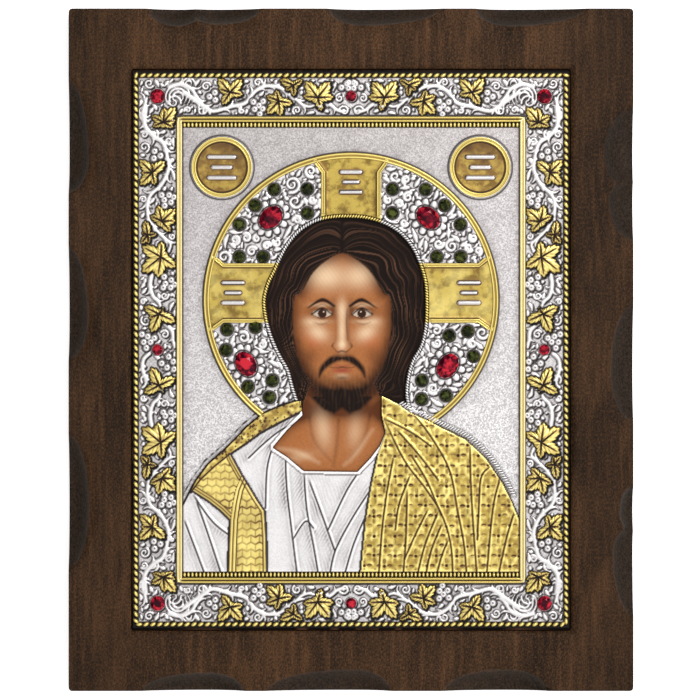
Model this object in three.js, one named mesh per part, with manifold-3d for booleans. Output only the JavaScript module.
// An icon panel: a stained board with a sunk field, a painted panel lying in it, and over the painting one stamped
// metal cover with a window for the head and neck. Cut stones stand on the cover.
// It lies on its back. The origin is the middle of the board's back, +Y is the picture's top, +Z is out of its front.

import * as THREE from 'three';
import { mergeVertices } from 'three/addons/utils/BufferGeometryUtils.js';
import Module from 'manifold-3d';

const wasm = await Module();
wasm.setup();

// Driving sizes, in millimetres

// Board
const boardWidth = 240;
const boardHeight = 290;
const boardThickness = 20;
const boardCornerRadius = 1.5;
const rimAtSides = 26.5;
const rimAtEnds = 25.5;
const recessDepth = 3.2;
const recessCornerRadius = 1.2;
const gougeDrop = 9;

// Painted panel, and the clearances of what lies in the sunk field
const pictureThickness = 1.2;
const pictureClearance = 0.5;
const coverClearanceAtSides = 0.9;
const coverClearanceAtEnds = 1.4;
const layerGap = 0.05;

// Metal cover, from its edge inwards
const sheetThickness = 0.8;
const ropeWidth = 2.4;
const ropeHeight = 1.7;
const borderWidth = 16;
const railWidth = 2.6;
const railHeight = 1.9;
const beadRowWidth = 2.1;
const beadRowHeight = 1.2;
const beadRowGap = 0.4;

// Vine border
const stemWidth = 1.6;
const stemHeight = 0.9;
const leafHeight = 1.3;
const berryRadius = 1.4;
const berryHeight = 1.1;

// Halo and medallions
const haloSideGap = 8.9;
const haloCentreAboveMiddle = 21.1;
const haloPlateHeight = 0.7;
const haloRimWidth = 2.5;
const haloRimHeight = 1.4;
const windowRimWidth = 1.5;
const windowRimHeight = 1.5;
const armWidth = 25.4;
const sideArmRise = 3;
const armFlare = 2;
const armHeight = 1.0;
const armFrameWidth = 1.8;
const armFrameHeight = 1.5;
const medallionRadius = 13.2;
const medallionRingWidth = 2.4;
const medallionRingHeight = 1.3;
const medallionDiscHeight = 0.7;
const strokeWidth = 1.4;
const strokeHeight = 0.5;
const collarWidth = 2.2;
const collarHeight = 0.5;

// Robes
const robeHeight = 0.8;
const goldRobeHeight = 1.2;
const foldWidth = 1.4;
const foldHeight = 0.6;

// Stones
const haloStoneDiameter = 4.7;
const haloStoneHeight = 1.9;
const cornerStoneDiameter = 6.4;
const cornerStoneHeight = 2.4;
const middleStoneDiameter = 4.6;
const middleStoneHeight = 1.9;
const ovalStoneLength = 11.2;
const ovalStoneWidth = 8.4;
const ovalStoneHeight = 2.6;
const stoneClearance = 0.25;

// Levels and rectangles that follow from them

const recessWidth = boardWidth - 2 * rimAtSides;
const recessHeight = boardHeight - 2 * rimAtEnds;
const recessFloor = boardThickness - recessDepth;
const pictureTop = recessFloor + layerGap + pictureThickness;
const coverBottom = pictureTop + layerGap;
const ground = coverBottom + sheetThickness;
const sink = sheetThickness / 2;
const clearAbove = ground + 10;

const coverHalf = {
  x: recessWidth / 2 - coverClearanceAtSides,
  y: recessHeight / 2 - coverClearanceAtEnds,
};
const inset = (half, by) => ({ x: half.x - by, y: half.y - by });
const borderOuter = inset(coverHalf, ropeWidth);
const borderMiddle = inset(borderOuter, borderWidth / 2);
const railOuter = inset(borderOuter, borderWidth);
const field = inset(railOuter, railWidth);

const haloRadius = field.x - haloSideGap;
const haloTop = ground + haloPlateHeight;

// Free forms are drawn in hundredths of the halo's radius, from the halo's centre
const share = haloRadius / 100;
const drawn = ([x, y]) => new THREE.Vector2(x * share, haloCentreAboveMiddle + y * share);
const haloCentre = drawn([0, 0]);
const smooth = (points, steps) => new THREE.SplineCurve(points).getPoints(steps);

// Solids and how they are joined and cut

function toSolid(geometry) {
  const bare = geometry.clone();
  bare.deleteAttribute('normal');
  bare.deleteAttribute('uv');
  const merged = mergeVertices(bare, 1e-5);
  return new wasm.Manifold(
    new wasm.Mesh({
      numProp: 3,
      vertProperties: new Float32Array(merged.attributes.position.array),
      triVerts: new Uint32Array(merged.index.array),
    }),
  );
}

function indexed(positions, faces) {
  const geometry = new THREE.BufferGeometry();
  geometry.setAttribute('position', new THREE.BufferAttribute(new Float32Array(positions), 3));
  geometry.setIndex(new THREE.BufferAttribute(new Uint32Array(faces), 1));
  return geometry;
}

function toGeometry(solid) {
  const { vertProperties, triVerts } = solid.getMesh();
  const geometry = indexed(vertProperties, triVerts);
  geometry.computeVertexNormals();
  return geometry;
}

const joined = (solids) => solids.reduce((whole, next) => whole.add(next));

// A flat plate with the outline given, holes if any, between two levels
function plate(outline, bottom, top, holes = []) {
  const shape = new THREE.Shape(outline);
  shape.holes = holes.map((hole) => new THREE.Path(hole));
  const geometry = new THREE.ExtrudeGeometry(shape, { depth: top - bottom, bevelEnabled: false });
  return toSolid(geometry.translate(0, 0, bottom));
}

const corners = (half, { x, y } = { x: 0, y: 0 }) =>
  [[-1, -1], [1, -1], [1, 1], [-1, 1]].map(([i, j]) => new THREE.Vector2(x + i * half.x, y + j * half.y));

function roundedRectangle(half, radius) {
  const shape = new THREE.Shape();
  const x = half.x - radius;
  const y = half.y - radius;
  shape.absarc(x, y, radius, 0, Math.PI / 2);
  shape.absarc(-x, y, radius, Math.PI / 2, Math.PI);
  shape.absarc(-x, -y, radius, Math.PI, 1.5 * Math.PI);
  shape.absarc(x, -y, radius, 1.5 * Math.PI, 2 * Math.PI);
  return shape.extractPoints(3).shape;
}

// An ellipse's outline; with equal radii a circle
function ellipse(centre, radiusX, radiusY, sides, turn = 0) {
  return Array.from({ length: sides }, (_, i) => {
    const angle = (2 * Math.PI * (i + 0.5)) / sides;
    return new THREE.Vector2(radiusX * Math.cos(angle), radiusY * Math.sin(angle))
      .rotateAround(new THREE.Vector2(), turn)
      .add(centre);
  });
}

const circle = (centre, radius, sides) => ellipse(centre, radius, radius, sides);

// A body of revolution about +Z, from a profile of [radius, height] pairs that starts and ends on the axis
function turned(profile, sides) {
  const points = profile.map(([radius, height]) => new THREE.Vector2(radius, height));
  return new THREE.LatheGeometry(points, sides).rotateX(Math.PI / 2);
}

// A bar of triangular section along a line, with its sharp edge on top and blunt ends
function ridge(points, width, bottom, peak) {
  const positions = points.flatMap((point, i) => {
    const before = points[Math.max(i - 1, 0)];
    const after = points[Math.min(i + 1, points.length - 1)];
    const across = new THREE.Vector2(before.y - after.y, after.x - before.x).setLength(width / 2);
    return [point.x + across.x, point.y + across.y, bottom, point.x, point.y, peak,
      point.x - across.x, point.y - across.y, bottom];
  });
  const last = 3 * (points.length - 1);
  const faces = [0, 2, 1, last, last + 1, last + 2];
  for (let a = 0; a < last; a += 3) {
    [[0, 2], [2, 1], [1, 0]].forEach(([from, to]) => {
      faces.push(a + from, a + from + 3, a + to, a + to, a + from + 3, a + to + 3);
    });
  }
  return toSolid(indexed(positions, faces));
}

// A tent over an outline that is star-shaped about its centre: upright edges up to the eaves, then slopes to the peak
function tent(outline, centre, bottom, eaves, peak) {
  const count = outline.length;
  const positions = [
    ...outline.flatMap(({ x, y }) => [x, y, bottom]),
    ...outline.flatMap(({ x, y }) => [x, y, eaves]),
    centre.x, centre.y, bottom,
    centre.x, centre.y, peak,
  ];
  const faces = [];
  for (let i = 0; i < count; i += 1) {
    const next = (i + 1) % count;
    faces.push(next, i, 2 * count, i + count, next + count, 2 * count + 1);
    faces.push(i, next, i + count, i + count, next, next + count);
  }
  return toSolid(indexed(positions, faces));
}

// Wooden board

// Each gouge is [start, deepest, end, depth]: places as shares of half the side's length, counted towards +X or +Y,
// and how far it bites into the front, in millimetres
const gouges = {
  top: [[-0.72, -0.61, -0.53, 7.6], [-0.58, -0.47, -0.32, 6.8], [-0.08, 0.04, 0.32, 7.3], [0.44, 0.56, 0.83, 7.6]],
  bottom: [[-0.74, -0.51, -0.38, 7.8], [-0.3, 0.01, 0.14, 9.2], [0.33, 0.55, 0.7, 9.2]],
  left: [[0.46, 0.56, 0.79, 8.5], [-0.03, 0.1, 0.3, 8.3], [-0.64, -0.46, -0.25, 8.7]],
  right: [[0.47, 0.57, 0.71, 12.7], [0.32, 0.44, 0.5, 10.6], [-0.21, -0.06, 0.13, 9.8], [-0.54, -0.47, -0.4, 5.9],
    [-0.78, -0.59, -0.52, 8.9]],
};

// A lengthwise half-egg on each side of the deepest place, lying along +Y
function gougeCut([start, deepest, end, depth], halfLength) {
  const geometry = new THREE.SphereGeometry(1, 12, 8);
  const position = geometry.attributes.position;
  for (let i = 0; i < position.count; i += 1) {
    const along = position.getY(i);
    const reach = along > 0 ? end - deepest : deepest - start;
    const y = (deepest + along * reach) * halfLength;
    position.setXYZ(i, position.getX(i) * depth, y, position.getZ(i) * gougeDrop);
  }
  return geometry;
}

function woodenBoard() {
  const halfX = boardWidth / 2;
  const halfY = boardHeight / 2;
  const blank = plate(roundedRectangle({ x: halfX, y: halfY }, boardCornerRadius), 0, boardThickness);
  const recessHalf = { x: recessWidth / 2, y: recessHeight / 2 };
  const recess = plate(roundedRectangle(recessHalf, recessCornerRadius), recessFloor, clearAbove);
  const cutAt = (x, y, halfLength) => (gouge) => gougeCut(gouge, halfLength).translate(x, y, boardThickness);
  // A cut for the top or bottom is turned a quarter clockwise, so what runs along +Y runs along +X
  const turnedCutAt = (y) => (gouge) => gougeCut(gouge, halfX).rotateZ(-Math.PI / 2).translate(0, y, boardThickness);
  const cuts = [
    ...gouges.left.map(cutAt(-halfX, 0, halfY)),
    ...gouges.right.map(cutAt(halfX, 0, halfY)),
    ...gouges.top.map(turnedCutAt(halfY)),
    ...gouges.bottom.map(turnedCutAt(-halfY)),
  ];
  return blank.subtract(recess).subtract(joined(cuts.map(toSolid)));
}

// Painted panel

function paintedPicture() {
  const half = { x: recessWidth / 2 - pictureClearance, y: recessHeight / 2 - pictureClearance };
  return plate(corners(half), recessFloor + layerGap, pictureTop);
}

// Metal cover: sheet, window and frames

const hairLeft = [[-1.5, 58.5], [-13.5, 58], [-25.5, 55], [-36.5, 48], [-44.5, 38.5], [-50, 28.5], [-53.5, 20.5],
  [-58, 11], [-60.5, 0], [-59.5, -11], [-57, -21.5], [-53, -32], [-44.5, -48], [-41.5, -59], [-38.5, -68.5]];
const hairRight = [[42, -75], [39.5, -64.5], [40.5, -52.5], [43.5, -42], [49.5, -31], [52.5, -17], [53, 0],
  [52, 13.5], [48, 27], [42.5, 38], [34, 47.5], [23, 54], [11, 57.5]];
const neckLeft = [[-34, -68.5], [-33, -78], [-43.5, -88], [-53.5, -100], [-44, -106], [-32, -116]];
const neckRight = [[4.5, -116.5], [13.5, -107], [19.5, -99], [23.5, -90], [21, -78.5], [21, -65], [31, -69.5]];

function frameBand(outer, width, top) {
  return plate(corners(outer), ground - sink, top, [corners(inset(outer, width))]);
}

// The rope is a bar with chamfered edges: a wide lower band and a narrower one on it
function ropeEdge() {
  const chamfer = ropeWidth / 4;
  return frameBand(coverHalf, ropeWidth, ground + ropeHeight * 0.6)
    .add(frameBand(inset(coverHalf, chamfer), ropeWidth - 2 * chamfer, ground + ropeHeight));
}

// The inner frame has a groove along its top, and a bead row inside it at the top and the bottom of the field
function innerFrame() {
  const third = railWidth / 3;
  const grooveFloor = ground + railHeight - third / 2;
  const groove = plate(corners(inset(railOuter, third)), grooveFloor, clearAbove, [
    corners(inset(railOuter, 2 * third)),
  ]);
  const rowHalf = { x: field.x + third, y: beadRowWidth / 2 };
  const rowMiddle = field.y - beadRowGap - beadRowWidth / 2;
  const rows = [-1, 1].map((side) =>
    plate(corners(rowHalf, { x: 0, y: side * rowMiddle }), ground - sink, ground + beadRowHeight));
  return joined([frameBand(railOuter, railWidth, ground + railHeight).subtract(groove), ...rows]);
}

// Metal cover: vine border

// One quarter of the border is drawn, the upper left one, and mirrored. Along counts from the middle of a side to its
// end, in shares of the border's half run. Across counts towards the right on a side and upwards on the top, in
// shares of half the border's width. A leaf is [along, across, heading in degrees, reach in millimetres, lobes].
const quarterLeaves = {
  side: [[0.897, 0.27, 55, 7, 5], [0.699, -0.32, 162, 7, 5], [0.508, 0.19, 52, 7, 5], [0.454, -0.56, 95, 4.8, 3],
    [0.367, 0.14, 213, 8.6, 5], [0.129, 0.03, 246, 7.4, 3]],
  top: [[0.628, 0.21, 122, 7, 5], [0.377, -0.24, 226, 6.6, 5], [0.3, 0.6, 275, 5, 3], [0.175, -0.06, 52, 8, 5]],
};
const quarterGrapes = {
  side: [[0.769, -0.1], [0.592, 0.5], [0.264, 0.54]],
  top: [[0.721, 0], [0.482, -0.54]],
};
const middleGrapes = {
  upper: { side: [[0.04, -0.57]], top: [[0.01, 0.6]] },
  lower: { side: [[0.05, 0.58]], top: [[0.01, 0.6]] },
};
const quarterStems = {
  side: [[0.957, -0.66], [0.89, -0.72], [0.8, 0.37], [0.71, 0.53], [0.62, -0.34], [0.56, -0.58], [0.5, -0.38],
    [0.417, 0.66], [0.36, 0.3], [0.27, -0.43], [0.22, -0.38], [0.117, 0.66], [0.02, 0.8]],
  top: [[0.865, 0.22], [0.76, -0.52], [0.715, -0.76], [0.628, -0.52], [0.549, -0.31], [0.506, 0.22], [0.43, 0.58],
    [0.352, 0.38], [0.258, -0.4], [0.15, -0.6]],
};

const quarters = [[-1, 1], [1, 1], [-1, -1], [1, -1]];

const places = {
  side: ([along, across], [flipX, flipY]) => new THREE.Vector2(
    flipX * (borderMiddle.x - (across * borderWidth) / 2),
    flipY * along * borderMiddle.y,
  ),
  top: ([along, across], [flipX, flipY]) => new THREE.Vector2(
    flipX * along * borderMiddle.x,
    flipY * (borderMiddle.y + (across * borderWidth) / 2),
  ),
};

// A vine leaf has three or five pointed lobes, the middle one longest, with notches between them and at the stalk
function leafOutline(centre, heading, reach, lobes, [flipX, flipY]) {
  const spread = lobes === 5 ? 60 : 88;
  const outer = (lobes - 1) / 2;
  const steps = Array.from({ length: 2 * lobes }, (_, i) => i / 2 - outer);
  const points = steps.map((step) => {
    const atStalk = step > outer;
    const length = Number.isInteger(step) ? 1 - 0.12 * Math.abs(step) : 0.4;
    const radius = reach * (atStalk ? 0.25 : length);
    const angle = THREE.MathUtils.degToRad(heading + (atStalk ? 180 : step * spread));
    return new THREE.Vector2(centre.x - flipX * radius * Math.cos(angle), centre.y + flipY * radius * Math.sin(angle));
  });
  return THREE.ShapeUtils.isClockWise(points) ? points.reverse() : points;
}

function leaf(centre, heading, reach, lobes, quarter) {
  const outline = leafOutline(centre, heading, reach, lobes, quarter);
  return tent(outline, centre, ground - sink, ground, ground + leafHeight);
}

// Three berries that stand clear of each other
function grapes(centre) {
  const profile = [[0, -sink], [berryRadius, -sink], [berryRadius, 0], [0, berryHeight]];
  return Array.from({ length: 3 }, (_, i) => {
    const angle = (2 * Math.PI * i) / 3;
    const spread = berryRadius * 1.25;
    const x = centre.x + spread * Math.cos(angle);
    const y = centre.y + spread * Math.sin(angle);
    return toSolid(turned(profile, 6).translate(x, y, ground));
  });
}

function vineBorder() {
  const parts = quarters.flatMap((quarter) => {
    const middle = quarter[1] > 0 ? middleGrapes.upper : middleGrapes.lower;
    return ['side', 'top'].flatMap((side) => {
      const place = (pair) => places[side](pair, quarter);
      const line = smooth(quarterStems[side].map(place), side === 'side' ? 14 : 10);
      return [
        ridge(line, stemWidth, ground - sink, ground + stemHeight),
        ...quarterLeaves[side].map(([along, across, heading, reach, lobes]) =>
          leaf(place([along, across]), heading, reach, lobes, quarter)),
        ...quarterGrapes[side].flatMap((pair) => grapes(place(pair))),
        ...(side === 'side' || quarter[0] > 0 ? middle[side].flatMap((pair) => grapes(place(pair))) : []),
      ];
    });
  });
  const band = plate(corners(borderOuter), coverBottom, clearAbove, [corners(railOuter)]);
  return joined(parts).intersect(band);
}

// Metal cover: halo, medallions and robes

// An arm of the cross in the halo, drawn towards +X and then turned: a plate with a raised strip along each long edge
function crossArm({ turn, rise }) {
  const start = 40 * share;
  const flareStart = haloRadius * 0.93;
  const end = haloRadius + armFlare;
  const place = (x, y) => new THREE.Vector2(x, y + rise).rotateAround(new THREE.Vector2(), turn).add(haloCentre);
  const side = (half) => [[start, half], [flareStart, half], [end, half + armFlare * 1.5]];
  const long = (half, sign) => side(half).map(([x, y]) => place(x, sign * y));
  const outline = [...long(armWidth / 2, -1), ...long(armWidth / 2, 1).reverse()];
  const strips = [-1, 1].map((sign) =>
    ridge(long(armWidth / 2 - armFrameWidth / 2, sign), armFrameWidth, ground, ground + armFrameHeight));
  return joined([plate(outline, ground - sink, ground + armHeight), ...strips]);
}

// Three rows of short raised strokes fill the middle of each medallion and each arm of the cross
function strokes(centre, spacing, length, level) {
  return [-1, 0, 1].map((row) => {
    const half = (length * (row === 0 ? 0.7 : 1)) / 2;
    const y = centre.y + row * spacing;
    const line = [new THREE.Vector2(centre.x - half, y), new THREE.Vector2(centre.x + half, y)];
    return ridge(line, strokeWidth, ground, level + strokeHeight);
  });
}

function halo() {
  const sides = 48;
  const disc = circle(haloCentre, haloRadius, sides);
  const rimInner = circle(haloCentre, haloRadius - haloRimWidth, sides);
  const arms = [{ turn: 0, rise: sideArmRise }, { turn: Math.PI / 2, rise: 0 }, { turn: Math.PI, rise: -sideArmRise }];
  const marks = [[0, 80], [-80, 5], [80, 5]].flatMap((place) =>
    strokes(drawn(place), armWidth / 6, armWidth / 3, ground + armHeight));
  const trim = plate(disc, ground - sink, clearAbove);
  return joined([
    plate(disc, ground - sink, haloTop),
    plate(disc, ground - sink, ground + haloRimHeight, [rimInner]),
    joined([...arms.map(crossArm), ...marks]).intersect(trim),
    ...ovalStones.map(ovalCollar),
  ]);
}

function medallion(place) {
  const centre = drawn(place);
  const outer = circle(centre, medallionRadius, 24);
  const inner = circle(centre, medallionRadius - medallionRingWidth, 24);
  return joined([
    plate(outer, ground - sink, ground + medallionDiscHeight),
    plate(outer, ground - sink, ground + medallionRingHeight, [inner]),
    ...strokes(centre, medallionRadius / 3, medallionRadius * 0.85, ground + medallionDiscHeight),
  ]);
}

// The robes' outlines run past the field and are trimmed to it
const below = -200;
const shoulderLeft = [[-38.5, -68.5], [-47.5, -71.5], [-60.5, -77], [-71, -86], [-84.5, -100], [-97, -111],
  [-105.5, -122.5], [-125, -160]];
const shoulderRight = [[20, -64], [30.5, -69.5], [40, -76], [58, -84.5], [78, -94.5], [91.5, -107.5], [102, -123],
  [109.5, -138], [125, -175]];
const bandEdge = [[-113, -139], [-92, -115.5], [-80, -104], [-65, -92.5], [-51.5, -82], [-31, -74]];
const mantleEdge = [[10, -149], [13.5, -127], [18.5, -103.5], [23.5, -90], [20, -76]];
const robeOutline = [...shoulderLeft, [-125, below], [125, below], ...shoulderRight.slice().reverse()];

const goldPieces = [
  [...shoulderLeft, ...bandEdge, [-30, -64]],
  [[-80.5, -106], [-75.5, -120.5], [-81.5, -152.5], [-105.5, -132]],
  [[-72.5, -123], [-58, -141], [-57, below], [-83, below], [-77, -135.5]],
  [[5, below], ...mantleEdge, ...shoulderRight, [125, below]],
];

const whiteFolds = [
  [[-105, -137], [-98, -155.5], [-88, below]],
  [[-38, -83], [-47.5, -88], [-59.5, -97.5], [-69.5, -107]],
  [[-53.5, -101], [-57, -115], [-58, -138]],
  [[-44.5, -107], [-43.5, -128.5], [-39.5, -162.5], [-36, below]],
  [[-31, -118], [-30, -142], [-25, -169], [-21.5, below]],
  [[-25, -126], [-19, -143.5], [-11, -168]],
  [[11, -128.5], [-1, -149], [-10, -170.5], [-14, below]],
  [[7, -150], [0, -166], [-5.5, below]],
];
const goldFolds = [
  [[24, -84], [36, -108.5], [51, -128.5], [61.5, -145.5], [67.5, -166], [69, below]],
  [[30, -83], [42, -91], [56, -104]],
  [[42, -79], [54, -92.5], [66.5, -115], [72, -142], [76.5, -166], [78.5, below]],
  [[37, -106], [51, -126], [59, -142]],
  [[29, -105], [24.5, -128.5], [21, -155.5], [18.5, below]],
  [[38, -118], [37, -155], [34, below]],
  [[53, -146], [50, -166], [46, below]],
  [[80.5, -98], [81, -122], [82.5, -149], [85.5, below]],
  [[101, -124], [97, -142], [92, below]],
];

function robes() {
  const trim = plate(corners(inset(field, -railWidth / 2)), ground - sink, clearAbove);
  const folds = (lines, level) => lines.map((line) => {
    const path = smooth(line.map(drawn), line.length + 1);
    return ridge(path, foldWidth, ground, ground + level + foldHeight);
  });
  return joined([
    plate(robeOutline.map(drawn), ground - sink, ground + robeHeight),
    ...goldPieces.map((outline) => plate(outline.map(drawn), ground - sink, ground + goldRobeHeight)),
    ...folds(whiteFolds, robeHeight),
    ...folds(goldFolds, goldRobeHeight),
  ]).intersect(trim);
}

// The rim of the window rises round the hair, from one shoulder to the other
function windowRim() {
  const line = [...hairRight, ...hairLeft].map(drawn);
  return ridge(line, 2 * windowRimWidth, ground - sink, ground + windowRimHeight);
}

function metalCover() {
  const sheet = plate(corners(coverHalf), coverBottom, ground);
  const robeShadow = plate(robeOutline.map(drawn), ground, clearAbove);
  const relief = [
    ropeEdge(),
    innerFrame(),
    vineBorder(),
    halo().subtract(robeShadow),
    ...[[-87.5, 90], [87.5, 90]].map(medallion),
    windowRim(),
    robes(),
  ];
  const window = plate([...hairLeft, ...neckLeft, ...neckRight, ...hairRight].map(drawn), recessFloor, clearAbove);
  return joined([sheet, ...relief]).subtract(window).subtract(joined(stoneSeats()));
}

// Stones

const facetProfile = (radius, height) => [[0, 0], [radius, 0], [0.55 * radius, height], [0, height]];

const roundStone = (diameter, height) => turned(facetProfile(diameter / 2, height), 8);

function ovalStone() {
  const stretch = ovalStoneLength / ovalStoneWidth;
  return turned(facetProfile(ovalStoneWidth / 2, ovalStoneHeight), 12).scale(stretch, 1, 1);
}

// An oval outline round an oval stone's place, larger than the stone by the amount given on every side
const aroundOval = ({ place, turn }, grow) =>
  ellipse(place, ovalStoneLength / 2 + grow, ovalStoneWidth / 2 + grow, 12, turn);

// A raised collar round each oval stone; its hole is cut with the stones' seats
const ovalCollar = (oval) =>
  plate(aroundOval(oval, stoneClearance + collarWidth), ground - sink, haloTop + collarHeight);

// Places in hundredths of the halo's radius; an oval's long side lies across the line to the halo's centre
const upperStones = [[-64.9, 64.1], [-52, 74.9], [-75.6, 51.2], [-29.6, 75.2], [-75.7, 29.4], [-29.5, 59],
  [-59.6, 29.4]];
const lowerStones = [[-84, -19.9], [-64.7, -18.3], [-84.8, -33.9], [-53.3, -54.5], [-69.8, -58.8], [-55.3, -65.9],
  [66.6, -24.1], [79.2, -21.2], [83, -38], [48.1, -54.5], [47.8, -67.2], [64.3, -64.6]];
const haloStones = [...upperStones, ...upperStones.map(([x, y]) => [-x - 1.4, y]), ...lowerStones].map(drawn);
const ovalStones = [[-54.4, 55.9], [52.3, 55.9], [-71.2, -43.2], [65.5, -44.5]].map(([x, y]) => ({
  place: drawn([x, y]),
  turn: Math.atan2(y, x) + Math.PI / 2,
}));
const cornerStones = corners(borderMiddle);
const middleStones = [[1, 0], [0, 1], [-1, 0], [0, -1]].map(([x, y]) =>
  new THREE.Vector2(x * borderMiddle.x, y * borderMiddle.y));

// A seat clears away all ornament above the level that a stone stands on
function stoneSeats() {
  const round = (diameter, level) => (place) =>
    plate(circle(place, (diameter / 2 + stoneClearance) / Math.cos(Math.PI / 12), 12), level, clearAbove);
  return [
    ...haloStones.map(round(haloStoneDiameter, haloTop)),
    ...ovalStones.map((oval) => plate(aroundOval(oval, 1.6 * stoneClearance), haloTop, clearAbove)),
    ...cornerStones.map(round(cornerStoneDiameter, ground)),
    ...middleStones.map(round(middleStoneDiameter, ground)),
  ];
}

// Materials

const wood = new THREE.MeshStandardMaterial({ color: 0x3a2718, roughness: 0.7, metalness: 0 });
const paint = new THREE.MeshStandardMaterial({ color: 0x7a4a2c, roughness: 0.5, metalness: 0 });
const silver = new THREE.MeshStandardMaterial({ color: 0xd2ccd0, roughness: 0.35, metalness: 0.9 });
const greenGlass = new THREE.MeshStandardMaterial({ color: 0x2c3a16, roughness: 0.1, metalness: 0 });
const redGlass = new THREE.MeshStandardMaterial({ color: 0x9c1430, roughness: 0.1, metalness: 0 });

// The panel, put together

const panel = new THREE.Group();

function addPiece(name, geometry, material, place = { x: 0, y: 0 }, level = 0, turn = 0) {
  const piece = new THREE.Mesh(geometry, material);
  piece.name = name;
  piece.position.set(place.x, place.y, level);
  piece.rotation.z = turn;
  panel.add(piece);
}

function addRoundStones(name, stonePlaces, diameter, height, material, level, digits) {
  stonePlaces.forEach((place, i) => {
    const number = String(i + 1).padStart(digits, '0');
    const geometry = toGeometry(toSolid(roundStone(diameter, height)));
    addPiece(`${name}_${number}`, geometry, material, place, level + layerGap);
  });
}

addPiece('wooden_board', toGeometry(woodenBoard()), wood);
addPiece('painted_picture', toGeometry(paintedPicture()), paint);
addPiece('metal_cover', toGeometry(metalCover()), silver);
ovalStones.forEach(({ place, turn }, i) => {
  addPiece(`oval_stone_${i + 1}`, toGeometry(toSolid(ovalStone())), redGlass, place, haloTop + layerGap, turn);
});
addRoundStones('halo_stone', haloStones, haloStoneDiameter, haloStoneHeight, greenGlass, haloTop, 2);
addRoundStones('corner_stone', cornerStones, cornerStoneDiameter, cornerStoneHeight, redGlass, ground, 1);
addRoundStones('middle_stone', middleStones, middleStoneDiameter, middleStoneHeight, redGlass, ground, 1);

export default panel;
